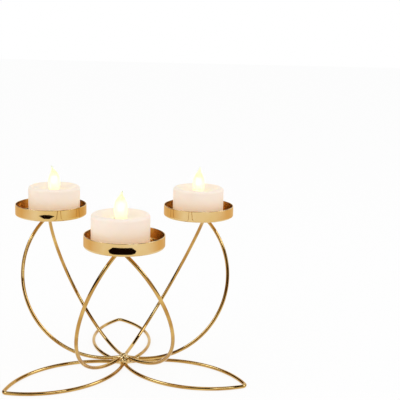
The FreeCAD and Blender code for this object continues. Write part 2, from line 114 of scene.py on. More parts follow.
class LotusColours(bpy.types.PropertyGroup):
    """Colours of the finishes."""

    gilt: tint("Gilt", "Gold plating on the wires and inside the cups", "#dab368")
    gilt_pale: tint("Pale gilt", "Gold plating outside the cups and on the welds", "#e6c994")
    # Partly the plating's random tone, partly a painted warm reflection of the cups' gold walls in each
    # other.
    gilt_warm_clouds_and_painted_reflection: tint("Warm gilt", "Clouds in the plating inside the cups", "#eab05e")
    gilt_deep: tint("Deep gilt", "Clouds in the plating of the wires", "#ad7b38")
    wax: tint("Wax", "Ivory of the candle shells", "#f2e2d7")
    # Painted shade and painted warm reflection of the gold cup: the wax's tone near the foot.
    wax_foot_painted_shade_and_reflection: tint("Wax shade", "Ivory near the candle's foot", "#f5e0cc")
    # Painted glow: colour of the emission that brightens the wax shells from within.
    glow: tint("Glow", "Warm light that comes through the wax", "#ffe3a6")
    lamp: tint("Lamp", "Light of the lamp in the flame", "#fffdf0")
    flame_foot: tint("Flame foot", "Plastic of the flame next to the wax", "#f3f5dc")
    flame_body: tint("Flame body", "Lit plastic in the middle of the flame", "#fbf6c9")
    flame_tip: tint("Flame tip", "Dimmer plastic at the flame's point", "#e4ead2")
    steel: tint("Steel", "Nickelled steel of the cell and tinned steel of the legs", "#c9c8c4")
    base: tint("Base", "Moulded plastic of the base and door", "#eeeae2")
    knob: tint("Knob", "Moulded plastic of the switch knob", "#1c1c1e")
    floor: tint("Floor", "Card that the stand is on", "#f6f6f6")
    dark_card: tint("Dark card", "Dark parts of the stage that only reflections show", "#160c04")
    bright_card: tint("Bright card", "Bright squares that only reflections show", "#c4d8ff")
    warm_card: tint("Warm card", "Back of the ring on the floor that only reflections show", "#eed0a2")


def sizes():
    """The sizes of this scene."""
    return bpy.context.scene.lotus_sizes


def colours():
    """The colours of this scene."""
    return bpy.context.scene.lotus_colours


def add_node(material, kind, settings=None, links=None, stops=()):
    """Add a node, set its properties, input values and ramp stops, and link its inputs from sockets."""
    tree = material.node_tree
    made = tree.nodes.new(kind)
    for key, value in (settings or {}).items():
        if isinstance(key, str) and hasattr(made, key):
            setattr(made, key, value)
        else:
            made.inputs[key].default_value = value
    for key, socket in (links or {}).items():
        tree.links.new(socket, made.inputs[key])
    if stops:
        elements = made.color_ramp.elements
        while len(elements) < len(stops):
            elements.new(0.5)
        for element, (position, colour) in zip(elements, stops):
            element.position = position
            element.color = colour
    return made


def new_material(name):
    """A material that has no nodes yet."""
    material = bpy.data.materials.new(name)
    material.use_nodes = True
    material.node_tree.nodes.clear()
    return material


def grey(level):
    """A grey of a linear level, as a colour."""
    return (level, level, level, 1.0)


def per_mm(millimetres):
    """The texture scale at which one feature is that long."""
    return 1.0 / (millimetres * MM)


# Sizes in the finishes, in millimetres.
HANDLING_MM = 4.0
WAX_CLOUD_MM = 14.0
WAX_GRAIN_MM = 0.8
WAX_GRAIN_DEPTH_MM = 0.05
# Reach of the painted glow in the wax.
PAINTED_WAX_GLOW_REACH_MM = 24.0
FROST_MM = 0.6
STEEL_MARK_MM = 0.7
PLASTIC_PIT_MM = 0.35
PLASTIC_PIT_DEPTH_MM = 0.04
# How much the wax's clouds shift its tone, and how strongly the lamp's chip shines.
WAX_CLOUD_SHARE = 0.3
CHIP_STRENGTH = 3.4


def electroplated_gold(name, tone, stain, stain_mm, stain_blur, smooth, worn, peel_mm, peel_depth_mm):
    """Gold electroplate over iron: a mirror where it is polished, satin elsewhere, faintly rippled.

    Clouds of stain_mm take the stain's tone, and stain_blur is how softly they run out.
    smooth and worn are the least and greatest roughness, and peel is the plating's ripple.
    """
    material = new_material(name)
    place = add_node(material, "ShaderNodeTexCoord").outputs["Object"]
    cloud = add_node(
        material, "ShaderNodeTexNoise", {"Scale": per_mm(stain_mm), "Detail": 3.0}, {"Vector": place}
    )
    gold = add_node(
        material,
        "ShaderNodeValToRGB",
        links={"Fac": cloud.outputs["Fac"]},
        stops=[(0.5 - stain_blur / 2, stain), (0.5 + stain_blur / 2, tone)],
    )
    marks = add_node(
        material, "ShaderNodeTexNoise", {"Scale": per_mm(HANDLING_MM), "Detail": 5.0}, {"Vector": place}
    )
    gloss = add_node(
        material,
        "ShaderNodeValToRGB",
        links={"Fac": marks.outputs["Fac"]},
        stops=[(0.35, grey(smooth)), (0.75, grey(worn))],
    )
    peel = add_node(
        material, "ShaderNodeTexNoise", {"Scale": per_mm(peel_mm), "Detail": 2.0}, {"Vector": place}
    )
    ripple = add_node(
        material,
        "ShaderNodeBump",
        {"Strength": 1.0, "Distance": peel_depth_mm * MM},
        {"Height": peel.outputs["Fac"]},
    )
    shader = add_node(
        material,
        "ShaderNodeBsdfPrincipled",
        {"Metallic": 1.0},
        {
            "Base Color": gold.outputs["Color"],
            "Roughness": gloss.outputs["Color"],
            "Normal": ripple.outputs["Normal"],
        },
    )
    add_node(material, "ShaderNodeOutputMaterial", links={"Surface": shader.outputs["BSDF"]})
    return material


def wire_gilt():
    """Drawn iron wire, bent and gold-plated: bright, with a faint ripple from drawing."""
    return electroplated_gold(
        "drawn_wire_gold_plate",
        tone=colours().gilt,
        stain=colours().gilt_deep,
        stain_mm=14.0,
        stain_blur=0.4,
        smooth=0.02,
        worn=0.05,
        peel_mm=12.0,
        peel_depth_mm=0.004,
    )


def cup_gilt():
    """Pressed sheet, polished and gold-plated: nearly a mirror."""
    return electroplated_gold(
        "pressed_sheet_gold_plate",
        tone=colours().gilt_pale,
        stain=colours().gilt,
        stain_mm=22.0,
        stain_blur=0.4,
        smooth=0.02,
        worn=0.05,
        peel_mm=14.0,
        peel_depth_mm=0.004,
    )


def cup_inside_gilt():
    """The inside of the pressed cup, which a polishing wheel reaches less well: satin, not a mirror, with
    warm clouds that are partly the plating's random tone and partly a painted warm reflection of the gold
    walls in each other.
    """
    return electroplated_gold(
        "pressed_sheet_satin_gold_plate",
        tone=colours().gilt,
        stain=colours().gilt_warm_clouds_and_painted_reflection,
        stain_mm=12.0,
        stain_blur=0.5,
        smooth=0.19,
        worn=0.27,
        peel_mm=14.0,
        peel_depth_mm=0.004,
    )


def weld_gilt():
    """A rough weld under the plating: lumpy and duller than the wire."""
    return electroplated_gold(
        "weld_gold_plate",
        tone=colours().gilt_pale,
        stain=colours().gilt,
        stain_mm=3.0,
        stain_blur=0.4,
        smooth=0.08,
        worn=0.25,
        peel_mm=0.9,
        peel_depth_mm=0.06,
    )


def height_share(material, place, foot, top):
    """How far up a piece a point is: 0 at the foot, 1 at the top."""
    axes = add_node(material, "ShaderNodeSeparateXYZ", links={"Vector": place})
    share = add_node(
        material,
        "ShaderNodeMapRange",
        {"From Min": foot, "From Max": top},
        {"Value": axes.outputs["Z"]},
    )
    return share.outputs["Result"]


def painted_wax_glow(material, place, centre, top):
    """Strength of the painted glow in the wax: most low on the sides, far from the flame, least next to
    the lit flame; it stands in for light through the wax and lifts the shade low down on the shell.
    """
    reach = PAINTED_WAX_GLOW_REACH_MM * MM
    local = add_node(
        material,
        "ShaderNodeMapping",
        {
            "vector_type": "POINT",
            "Location": (-centre.x / reach, -centre.y / reach, -top / reach),
            "Scale": (1 / reach, 1 / reach, 1 / reach),
        },
        {"Vector": place},
    )
    nearness = add_node(
        material,
        "ShaderNodeTexGradient",
        {"gradient_type": "SPHERICAL"},
        {"Vector": local.outputs["Vector"]},
    )
    glow = add_node(
        material,
        "ShaderNodeValToRGB",
        links={"Fac": nearness.outputs["Fac"]},
        stops=[(0.0, grey(0.19)), (0.25, grey(0.08)), (1.0, grey(0.02))],
    )
    return glow.outputs["Color"]


def ivory_wax(side, centre, foot, top):
    """Moulded ivory wax, faintly clouded, with a painted warm tint towards the foot and a painted glow
    from within: soft, warm and a little see-through.
    """
    material = new_material(f"moulded_ivory_wax_{side}")
    place = add_node(material, "ShaderNodeTexCoord").outputs["Object"]
    cloud = add_node(
        material, "ShaderNodeTexNoise", {"Scale": per_mm(WAX_CLOUD_MM), "Detail": 2.0}, {"Vector": place}
    )
    # Tone: random clouds plus a painted warm shade and reflection of the gold cup that grows towards the
    # foot.
    clouds_and_painted_foot_tint = add_node(
        material,
        "ShaderNodeMath",
        {"operation": "MULTIPLY_ADD", 1: WAX_CLOUD_SHARE},
        {0: cloud.outputs["Fac"], 2: height_share(material, place, foot, top)},
    )
    ivory = add_node(
        material,
        "ShaderNodeValToRGB",
        links={"Fac": clouds_and_painted_foot_tint.outputs["Value"]},
        stops=[(0.25, colours().wax_foot_painted_shade_and_reflection), (0.85, colours().wax)],
    )
    grain = add_node(
        material, "ShaderNodeTexNoise", {"Scale": per_mm(WAX_GRAIN_MM), "Detail": 3.0}, {"Vector": place}
    )
    dimple = add_node(
        material,
        "ShaderNodeBump",
        {"Strength": 0.6, "Distance": WAX_GRAIN_DEPTH_MM * MM},
        {"Height": grain.outputs["Fac"]},
    )
    # The emission is a painted glow that stands in for light through the wax and lifts the shade low down
    # on the shell.
    shader = add_node(
        material,
        "ShaderNodeBsdfPrincipled",
        {
            "Roughness": 0.5,
            "Subsurface Weight": 0.35,
            "Subsurface Radius": (1.0, 0.6, 0.4),
            "Subsurface Scale": 3.0 * MM,
            "Emission Color": colours().glow,
        },
        {
            "Base Color": ivory.outputs["Color"],
            "Emission Strength": painted_wax_glow(material, place, centre, top),
            "Normal": dimple.outputs["Normal"],
        },
    )
    add_node(material, "ShaderNodeOutputMaterial", links={"Surface": shader.outputs["BSDF"]})
    return material


def lit_flame_plastic(foot, tip):
    """Frosted plastic, lit by the lamp inside: pale yellow, brightest low down, dimmer at the point."""
    shades = colours()
    material = new_material("frosted_flame_plastic")
    place = add_node(material, "ShaderNodeTexCoord").outputs["Object"]
    share = height_share(material, place, foot, tip)
    tone = add_node(
        material,
        "ShaderNodeValToRGB",
        links={"Fac": share},
        stops=[
            (0.1, shades.flame_foot),
            (0.35, shades.flame_body),
            (0.7, shades.flame_body),
            (0.92, shades.flame_tip),
        ],
    )
    light = add_node(
        material,
        "ShaderNodeValToRGB",
        links={"Fac": share},
        stops=[
            (0.05, grey(0.15)),
            (0.3, grey(0.4)),
            (0.5, grey(0.35)),
            (0.75, grey(0.16)),
            (0.95, grey(0.14)),
        ],
    )
    frost = add_node(
        material, "ShaderNodeTexNoise", {"Scale": per_mm(FROST_MM), "Detail": 2.0}, {"Vector": place}
    )
    gloss = add_node(
        material,
        "ShaderNodeValToRGB",
        links={"Fac": frost.outputs["Fac"]},
        stops=[(0.3, grey(0.85)), (0.7, grey(1.0))],
    )
    shader = add_node(
        material,
        "ShaderNodeBsdfPrincipled",
        {"Transmission Weight": 0.6, "IOR": 1.45},
        {
            "Base Color": tone.outputs["Color"],
            "Emission Color": tone.outputs["Color"],
            "Emission Strength": light.outputs["Color"],
            "Roughness": gloss.outputs["Color"],
        },
    )
    add_node(material, "ShaderNodeOutputMaterial", links={"Surface": shader.outputs["BSDF"]})
    return material


def lit_lamp(foot, tip):
    """A frosted lamp with its chip lit: warm white, brightest round the chip and fading to both ends."""
    white = colours().lamp
    material = new_material("lit_lamp")
    place = add_node(material, "ShaderNodeTexCoord").outputs["Object"]
    light = add_node(
        material,
        "ShaderNodeValToRGB",
        links={"Fac": height_share(material, place, foot, tip)},
        stops=[(0.1, grey(0.15)), (0.45, grey(1.0)), (0.6, grey(1.0)), (1.0, grey(0.3))],
    )
    lit = add_node(
        material,
        "ShaderNodeMath",
        {"operation": "MULTIPLY", 1: CHIP_STRENGTH},
        {0: light.outputs["Color"]},
    )
    shader = add_node(
        material,
        "ShaderNodeBsdfPrincipled",
        {"Base Color": white, "Roughness": 0.4, "Emission Color": white},
        {"Emission Strength": lit.outputs["Value"]},
    )
    add_node(material, "ShaderNodeOutputMaterial", links={"Surface": shader.outputs["BSDF"]})
    return material


def bright_steel(name, roughness):
    """Nickelled or tinned steel: cool, fairly bright, with fine handling marks."""
    material = new_material(name)
    place = add_node(material, "ShaderNodeTexCoord").outputs["Object"]
    marks = add_node(
        material, "ShaderNodeTexNoise", {"Scale": per_mm(STEEL_MARK_MM), "Detail": 6.0}, {"Vector": place}
    )
    gloss = add_node(
        material,
        "ShaderNodeValToRGB",
        links={"Fac": marks.outputs["Fac"]},
        stops=[(0.3, grey(roughness)), (0.8, grey(roughness * 2))],
    )
    shader = add_node(
        material,
        "ShaderNodeBsdfPrincipled",
        {"Metallic": 1.0, "Base Color": colours().steel},
        {"Roughness": gloss.outputs["Color"]},
    )
    add_node(material, "ShaderNodeOutputMaterial", links={"Surface": shader.outputs["BSDF"]})
    return material


def spark_textured_plastic(name, colour):
    """Moulded plastic from a spark-eroded tool: matt with a fine even grain."""
    material = new_material(name)
    place = add_node(material, "ShaderNodeTexCoord").outputs["Object"]
    grain = add_node(
        material, "ShaderNodeTexNoise", {"Scale": per_mm(PLASTIC_PIT_MM), "Detail": 2.0}, {"Vector": place}
    )
    pits = add_node(
        material,
        "ShaderNodeBump",
        {"Strength": 0.5, "Distance": PLASTIC_PIT_DEPTH_MM * MM},
        {"Height": grain.outputs["Fac"]},
    )
    gloss = add_node(
        material,
        "ShaderNodeValToRGB",
        links={"Fac": grain.outputs["Fac"]},
        stops=[(0.3, grey(0.45)), (0.7, grey(0.6))],
    )
    shader = add_node(
        material,
        "ShaderNodeBsdfPrincipled",
        {"Base Color": colour},
        {"Roughness": gloss.outputs["Color"], "Normal": pits.outputs["Normal"]},
    )
    add_node(material, "ShaderNodeOutputMaterial", links={"Surface": shader.outputs["BSDF"]})
    return material


def dress(node, material):
    """Give a CAD node its finish."""
    slots = frame["nodes"][node].data.materials
    slots.clear()
    slots.append(material)


def body_of(node):
    """The CAD body that a node belongs to."""
    return next(body for body, nodes in frame["record"]["behaviour"]["bodies"].items() if node in nodes)


def finished_piece(shape, name, nodes, slot, *materials):
    """Turn a bmesh into a smooth-shaded piece that stands for CAD nodes and moves with their body."""
    mesh = bpy.data.meshes.new(name)
    for face in shape.faces:
        face.smooth = True
    shape.to_mesh(mesh)
    shape.free()
    for material in materials:
        mesh.materials.append(material)
    piece = bpy.data.objects.new(name, mesh)
    bpy.context.scene.collection.objects.link(piece)
    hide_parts(*nodes)
    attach(piece, body_of(nodes[0]))


# Turned pieces: steps of a full turn, and how close vertices are to be merged or to count as on a ring.
TURN_STEPS = 128
MERGED = 0.001 * MM
ON_RING = 0.01 * MM
# How far from a corner the cuts that keep a wall straight lie, as multiples of the corner's rounding.
CUP_LIP_CUT = 2.0
SHELL_EDGE_CUT = 1.1
SHELL_FOOT_CUT = 1.5


def turned_shape(outline, centre, closed):
    """Spin an outline of (radius, height) points about an upright axis through centre."""
    shape = bmesh.new()
    corners = [shape.verts.new((centre.x + radius, centre.y, height)) for radius, height in outline]
    following = corners[1:] + corners[:1] if closed else corners[1:]
    edges = [shape.edges.new(pair) for pair in zip(corners, following)]
    bmesh.ops.spin(
        shape,
        geom=corners + edges,
        cent=(centre.x, centre.y, 0),
        axis=UP,
        angle=2 * math.pi,
        steps=TURN_STEPS,
        use_merge=True,
    )
    bmesh.ops.remove_doubles(shape, verts=shape.verts, dist=MERGED)
    bmesh.ops.recalc_face_normals(shape, faces=shape.faces)
    return shape


def ring_edges(shape, centre, radius, height):
    """The edges of a turned shape that lie on one ring."""

    def on_ring(vert):
        out = math.hypot(vert.co.x - centre.x, vert.co.y - centre.y)
        return abs(out - radius) < ON_RING and abs(vert.co.z - height) < ON_RING

    return [edge for edge in shape.edges if all(on_ring(vert) for vert in edge.verts)]


def round_ring(shape, centre, radius, height, rounding, segments):
    """Round the corner of a turned shape that lies on one ring."""
    bmesh.ops.bevel(
        shape,
        geom=ring_edges(shape, centre, radius, height),
        offset=rounding,
        segments=segments,
        profile=0.5,
        affect="EDGES",
        material=-1,
    )


def cut(shape, place, way, clear=False):
    """Cut a bmesh along a plane and, where clear is set, take away what lies beyond it."""
    bmesh.ops.bisect_plane(
        shape,
        geom=shape.verts[:] + shape.edges[:] + shape.faces[:],
        plane_co=place,
        plane_no=way,
        clear_outer=clear,
    )


def keep_straight(shape, height):
    """Cut a ring into upright walls near a rounded corner, so that smooth shading keeps them straight."""
    cut(shape, UP * height, UP)


def round_box(node):
    """Centre, radius, foot and top of an upright round CAD node."""
    low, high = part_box(node)
    return (low + high) / 2, (high.x - low.x) / 2, low.z, high.z


class LOTUS_OT_wires(bpy.types.Operator):
    """Gild the bent wires of the petals and the feet."""

    bl_idname = "lotus.wires"
    bl_label = "Wires"

    def execute(self, context):
        gilt = wire_gilt()
        for node in WIRES:
            dress(node, gilt)
        return {"FINISHED"}


# Wire roots: rings of vertices along a wire are further apart than the gap. A root runs on from its wire
# in steps of a share of that spacing, for the longest number of spacings or until its end is close to
# the middle, and it is thinner than the wire by the inset.
RING_GAP = 0.25 * MM
ROOT_STEP = 0.5
ROOT_LONGEST = 8
ROOT_END = 1.5 * MM
ROOT_INSET = 0.02 * MM


def rings_from_weld(places):
    """The centres of the rings of vertices along a wire's leg, from its trimmed end outwards."""
    rings = []
    last = -1.0
    for place in sorted(places, key=lambda place: place.length):
        if place.length - last > RING_GAP:
            rings.append([])
        rings[-1].append(place)
        last = place.length
    return [sum(ring, Vector()) / len(ring) for ring in rings]


def wire_roots(node):
    """The two paths on which a bent wire's ends run on into the weld, bending as the wire does."""
    places = [vert.co for vert in frame["nodes"][node].data.vertices]
    middle = sum(places, Vector()) / len(places)
    across = Vector((-middle.y, middle.x, 0))
    paths = []
    for leg_side in (1, -1):
        leg = [place for place in places if leg_side * place.dot(across) > 0]
        first, second, third = rings_from_weld(leg)[1:4]
        path = [first]
        steps = 0.0
        while path[-1].xy.length > ROOT_END and steps < ROOT_LONGEST:
            steps += ROOT_STEP
            bend = (first - 2 * second + third) * steps * (steps + 1) / 2
            path.append(first + (first - second) * steps + bend)
            if path[-1].xy.length > path[-2].xy.length:
                break
        paths.append(path)
    return paths


def add_root(shape, path, radius):
    """Add a wire's root to a bmesh: a round rod along a path."""
    turn = UP.rotation_difference(path[1] - path[0]).to_matrix().to_4x4()
    start = Matrix.Translation(path[0]) @ turn
    ring = bmesh.ops.create_circle(shape, segments=24, radius=radius, matrix=start)
    edges = list({edge for vert in ring["verts"] for edge in vert.link_edges})
    for here, there in zip(path, path[1:]):
        grown = bmesh.ops.extrude_edge_only(shape, edges=edges)["geom"]
        edges = [part for part in grown if isinstance(part, bmesh.types.BMEdge)]
        ends = list({vert for edge in edges for vert in edge.verts})
        bmesh.ops.translate(shape, vec=there - here, verts=ends)


# Lumps of weld metal: place and radius in millimetres, then the size of their unevenness.
LUMPS = (
    ((0.0, 0.0, 2.4), 3.9),
    ((0.2, -0.2, 5.4), 2.9),
    ((2.3, -2.1, 3.9), 1.7),
    ((-2.0, -2.6, 3.2), 1.9),
    ((-2.9, 1.2, 4.2), 1.7),
    ((0.9, 2.8, 3.9), 2.0),
    ((3.4, 0.9, 3.3), 1.6),
    ((0.5, -1.4, 7.0), 1.4),
    ((-0.9, 0.6, 7.2), 1.2),
)
LUMP_GRAIN_MM = 1.8


def add_lumps(shape, roughness):
    """Add the uneven lumps of weld metal to a bmesh."""
    for place, radius in LUMPS:
        centre = Vector(place) * MM
        bead = bmesh.ops.create_icosphere(
            shape, subdivisions=4, radius=radius * MM, matrix=Matrix.Translation(centre)
        )
        for vert in bead["verts"]:
            out = (vert.co - centre).normalized()
            vert.co += out * roughness * noise.noise(vert.co * per_mm(LUMP_GRAIN_MM))


class LOTUS_OT_welds(bpy.types.Operator):
    """Model the knot of wire roots and weld metal in the middle, and gild the beads under the cups."""

    bl_idname = "lotus.welds"
    bl_label = "Welds"

    def execute(self, context):
        gilt = weld_gilt()
        for side in SIDES:
            dress(f"cup_weld_{side}", gilt)
        shape = bmesh.new()
        add_lumps(shape, sizes().weld_lump)
        for node in WIRES:
            for path in wire_roots(node):
                add_root(shape, path, sizes().wire_radius - ROOT_INSET)
        low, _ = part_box("centre_weld")
        cut(shape, UP * low.z, -UP, clear=True)
        bmesh.ops.holes_fill(shape, edges=[edge for edge in shape.edges if edge.is_boundary])
        bmesh.ops.recalc_face_normals(shape, faces=shape.faces)
        finished_piece(shape, "weld_knot", ["centre_weld"], "gilt_weld", gilt)
        return {"FINISHED"}


def cup_shape(centre, radius, foot, top):
    """A turned cup with a rounded lip and heel, whose inside has the second finish."""
    lengths = sizes()
    inner = radius - lengths.cup_wall
    floor = foot + lengths.cup_floor
    flat = radius - 2 * lengths.cup_edge
    outline = [
        (0, foot),
        (flat, foot),
        (radius, foot),
        (radius, top),
        (inner, top),
        (inner, floor),
        (flat, floor),
        (0, floor),
    ]
    shape = turned_shape(outline, centre, closed=False)
    round_ring(shape, centre, radius, foot, lengths.cup_edge, segments=6)
    round_ring(shape, centre, inner, floor, lengths.cup_edge - lengths.cup_wall, segments=4)
    round_ring(shape, centre, radius, top, lengths.cup_lip, segments=3)
    round_ring(shape, centre, inner, top, lengths.cup_lip, segments=3)
    keep_straight(shape, floor + lengths.cup_edge)
    keep_straight(shape, top - CUP_LIP_CUT * lengths.cup_lip)
    for face in shape.faces:
        middle = face.calc_center_median()
        out = math.hypot(middle.x - centre.x, middle.y - centre.y)
        above_floor = foot + lengths.cup_floor / 2 < middle.z < top - lengths.cup_lip
        if above_floor and out < radius - lengths.cup_wall / 2:
            face.material_index = 1
    return shape


class LOTUS_OT_cups(bpy.types.Operator):
    """Turn the three shallow cups, polished outside and satin inside."""

    bl_idname = "lotus.cups"
    bl_label = "Cups"

    def execute(self, context):
        gilt = cup_gilt()
        satin = cup_inside_gilt()
        for side in SIDES:
            shape = cup_shape(*round_box(f"cup_{side}"))
            nodes = [f"cup_{side}", f"cup_floor_{side}"]
            finished_piece(shape, f"cup_dish_{side}", nodes, "gilt_cup", gilt, satin)
        return {"FINISHED"}


# Steps down the candle's dish, from its edge to the flame's hole.
DISH_STEPS = 10


def candle_shell_shape(centre, radius, foot, top):
    """A turned candle shell with a rounded rim, a dished top with the flame's hole, and a hollow below."""
    lengths = sizes()
    inner = radius - lengths.shell_wall
    dish = radius - lengths.rim_width
    curve = (dish**2 + lengths.dish_depth**2) / (2 * lengths.dish_depth)
    middle = top - lengths.dish_depth + curve
    slopes = [dish + (lengths.flame_hole - dish) * step / DISH_STEPS for step in range(DISH_STEPS + 1)]
    bowl = [(out, middle - math.sqrt(curve**2 - out**2)) for out in slopes]
    under = curve + lengths.shell_wall
    spans = (lengths.flame_hole, inner / 2, inner)
    ceiling = [(out, middle - math.sqrt(under**2 - out**2)) for out in spans]
    outline = [(radius, foot), (radius, top)] + bowl + ceiling + [(inner, foot)]
    shape = turned_shape(outline, centre, closed=True)
    round_ring(shape, centre, radius, top, lengths.shell_edge, segments=8)
    round_ring(shape, centre, radius, foot, lengths.shell_foot, segments=3)
    keep_straight(shape, top - SHELL_EDGE_CUT * lengths.shell_edge)
    keep_straight(shape, foot + SHELL_FOOT_CUT * lengths.shell_foot)
    return shape


class LOTUS_OT_candle_shells(bpy.types.Operator):
    """Turn the three candle shells with their rounded rims and dished tops."""

    bl_idname = "lotus.candle_shells"
    bl_label = "Candle Shells"

    def execute(self, context):
        for side in SIDES:
            node = f"candle_shell_{side}"
            centre, radius, foot, top = round_box(node)
            shape = candle_shell_shape(centre, radius, foot, top)
            wax = ivory_wax(side, centre, foot, top)
            finished_piece(shape, f"wax_shell_{side}", [node], "candle_wax", wax)
        return {"FINISHED"}


class LOTUS_OT_flames(bpy.types.Operator):
    """Light the flame-shaped diffusers and the lamps inside them."""

    bl_idname = "lotus.flames"
    bl_label = "Flames"

    def execute(self, context):
        low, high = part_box("flame_front")
        plastic = lit_flame_plastic(low.z, high.z)
        lamp_low, lamp_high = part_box("led_front")
        lamp = lit_lamp(lamp_low.z, lamp_high.z)
        for side in SIDES:
            dress(f"flame_{side}", plastic)
            dress(f"led_{side}", lamp)
        return {"FINISHED"}


class LOTUS_OT_candle_works(bpy.types.Operator):
    """Finish what is inside and under the candles: cell, legs, base, battery door and switch knob."""

    bl_idname = "lotus.candle_works"
    bl_label = "Candle Works"

    def execute(self, context):
        cell = bright_steel("nickelled_steel", roughness=0.18)
        leg = bright_steel("tinned_steel", roughness=0.3)
        base = spark_textured_plastic("moulded_white_plastic", colours().base)
        knob = spark_textured_plastic("moulded_black_plastic", colours().knob)
        for side in SIDES:
            dress(f"coin_cell_{side}", cell)
            dress(f"led_legs_{side}", leg)
            dress(f"candle_base_{side}", base)
            dress(f"battery_door_{side}", base)
            dress(f"switch_knob_{side}", knob)
        return {"FINISHED"}


class LOTUS_OT_stage(bpy.types.Operator):
    """Set the floor, the light, the cards that the metal mirrors, and the camera."""

    bl_idname = "lotus.stage"
    bl_label = "Stage"

    def execute(self, context):
        white_floor()
        white_world()
        stage_cards()
        lamps()
        camera()
        context.scene.view_settings.view_transform = "Standard"
        return {"FINISHED"}


# The white stage: half the floor's width, how far it is below the feet, how much of its white shows
# without shadow, and the world's strength as a light.
FLOOR_HALF_WIDTH = 6.0
FLOOR_DROP = 0.05 * MM
FLOOR_GLOW_SHARE = 0.88
WORLD_LIGHT = 0.88


def seen_directly(material):
    """1 for rays from the camera, from mirrors and through clear pieces, else 0."""
    path = add_node(material, "ShaderNodeLightPath")
    first = add_node(
        material,
        "ShaderNodeMath",
        {"operation": "MAXIMUM"},
        {0: path.outputs["Is Camera Ray"], 1: path.outputs["Is Glossy Ray"]},
    )
    both = add_node(
        material,
        "ShaderNodeMath",
        {"operation": "MAXIMUM"},
        {0: first.outputs["Value"], 1: path.outputs["Is Transmission Ray"]},
    )
    return both.outputs["Value"]


def staged(shape, name, material):
    """Turn a bmesh into a piece of the stage."""
    mesh = bpy.data.meshes.new(name)
    shape.to_mesh(mesh)
    shape.free()
    mesh.materials.append(material)
    made = bpy.data.objects.new(name, mesh)
    bpy.context.scene.collection.objects.link(made)
    return made


def flat_card(name, half_width, place, material):
    """A square card that faces along the Z axis of its place."""
    shape = bmesh.new()
    bmesh.ops.create_grid(shape, x_segments=1, y_segments=1, size=half_width, matrix=place)
    return staged(shape, name, material)


def white_floor():
    """A white floor that keeps the shadow and is clear from below."""
    material = new_material("white_card_floor")
    white = add_node(material, "ShaderNodeEmission", {"Color": grey(1.0), "Strength": 1.0})
    paper = add_node(material, "ShaderNodeBsdfDiffuse", {"Color": colours().floor})
    share = add_node(
        material,
        "ShaderNodeMath",
        {"operation": "MULTIPLY", 1: FLOOR_GLOW_SHARE},
        {0: seen_directly(material)},
    )
    card = add_node(
        material,
        "ShaderNodeMixShader",
        links={0: share.outputs["Value"], 1: paper.outputs["BSDF"], 2: white.outputs["Emission"]},
    )
    facing = add_node(material, "ShaderNodeNewGeometry")
    clear = add_node(material, "ShaderNodeBsdfTransparent")
    from_above = add_node(
        material,
        "ShaderNodeMixShader",
        links={0: facing.outputs["Backfacing"], 1: card.outputs["Shader"], 2: clear.outputs["BSDF"]},
    )
    add_node(material, "ShaderNodeOutputMaterial", links={"Surface": from_above.outputs["Shader"]})
    flat_card("floor", FLOOR_HALF_WIDTH, Matrix.Translation(-UP * FLOOR_DROP), material)


def white_world():
    """A white world behind the floor, a little weaker as a light than where it is seen."""
    world = bpy.data.worlds.new("white_room")
    bpy.context.scene.world = world
    world.use_nodes = True
    world.node_tree.nodes.clear()
    level = add_node(
        world,
        "ShaderNodeMapRange",
        {"To Min": WORLD_LIGHT, "To Max": 1.0},
        {"Value": seen_directly(world)},
    )
    sky = add_node(
        world, "ShaderNodeBackground", {"Color": grey(1.0)}, {"Strength": level.outputs["Result"]}
    )
    add_node(world, "ShaderNodeOutputWorld", links={"Surface": sky.outputs["Background"]})


def mirrored_glow(material, settings=None, links=None):
    """Give a card a glow on its front that mirrors see and light on its way to a matt surface passes."""
    glow = add_node(material, "ShaderNodeEmission", settings, links)
    clear = add_node(material, "ShaderNodeBsdfTransparent")
    path = add_node(material, "ShaderNodeLightPath")
    facing = add_node(material, "ShaderNodeNewGeometry")
    hidden = add_node(
        material,
        "ShaderNodeMath",
        {"operation": "MAXIMUM"},
        {0: path.outputs["Diffuse Depth"], 1: facing.outputs["Backfacing"]},
    )
    either = add_node(
        material,
        "ShaderNodeMixShader",
        links={0: hidden.outputs["Value"], 1: glow.outputs["Emission"], 2: clear.outputs["BSDF"]},
    )
    add_node(material, "ShaderNodeOutputMaterial", links={"Surface": either.outputs["Shader"]})
    return material


def for_mirrors_only(card):
    """Hide a card from everything but reflections."""
    card.visible_camera = False
    card.visible_diffuse = False
    card.visible_transmission = False
    card.visible_shadow = False


def way_to(bearing, elevation=0.0):
    """The direction to a bearing, from +X towards +Y, and an elevation, both in degrees."""
    turn = math.radians(bearing)
    rise = math.radians(elevation)
    level = math.cos(rise)
    return Vector((math.cos(turn) * level, math.sin(turn) * level, math.sin(rise)))


def floor_ring(name, inner, outer, lift, material):
    """A flat ring just over the floor, between two radii."""
    shape = bmesh.new()
    ends = [shape.verts.new(way_to(-90) * reach + UP * lift) for reach in (inner, outer)]
    edge = shape.edges.new(ends)
    bmesh.ops.spin(
        shape,
        geom=ends + [edge],
        cent=(0, 0, 0),
        axis=UP,
        angle=2 * math.pi,
        steps=64,
        use_merge=True,
    )
    for_mirrors_only(staged(shape, name, material))


def warmer_to_the_back(material, pale, deep):
    """A colour that is pale towards the front of the stage and deepens round the sides to the back."""
    place = add_node(material, "ShaderNodeTexCoord").outputs["Object"]
    turned = add_node(
        material,
        "ShaderNodeMapping",
        {"Rotation": (0, 0, math.radians(90))},
        {"Vector": place},
    )
    bearing = add_node(
        material,
        "ShaderNodeTexGradient",
        {"gradient_type": "RADIAL"},
        {"Vector": turned.outputs["Vector"]},
    )
    colour = add_node(
        material,
        "ShaderNodeValToRGB",
        links={"Fac": bearing.outputs["Fac"]},
        stops=[(0.22, deep), (0.36, pale), (0.64, pale), (0.78, deep)],
    )
    return colour.outputs["Color"]


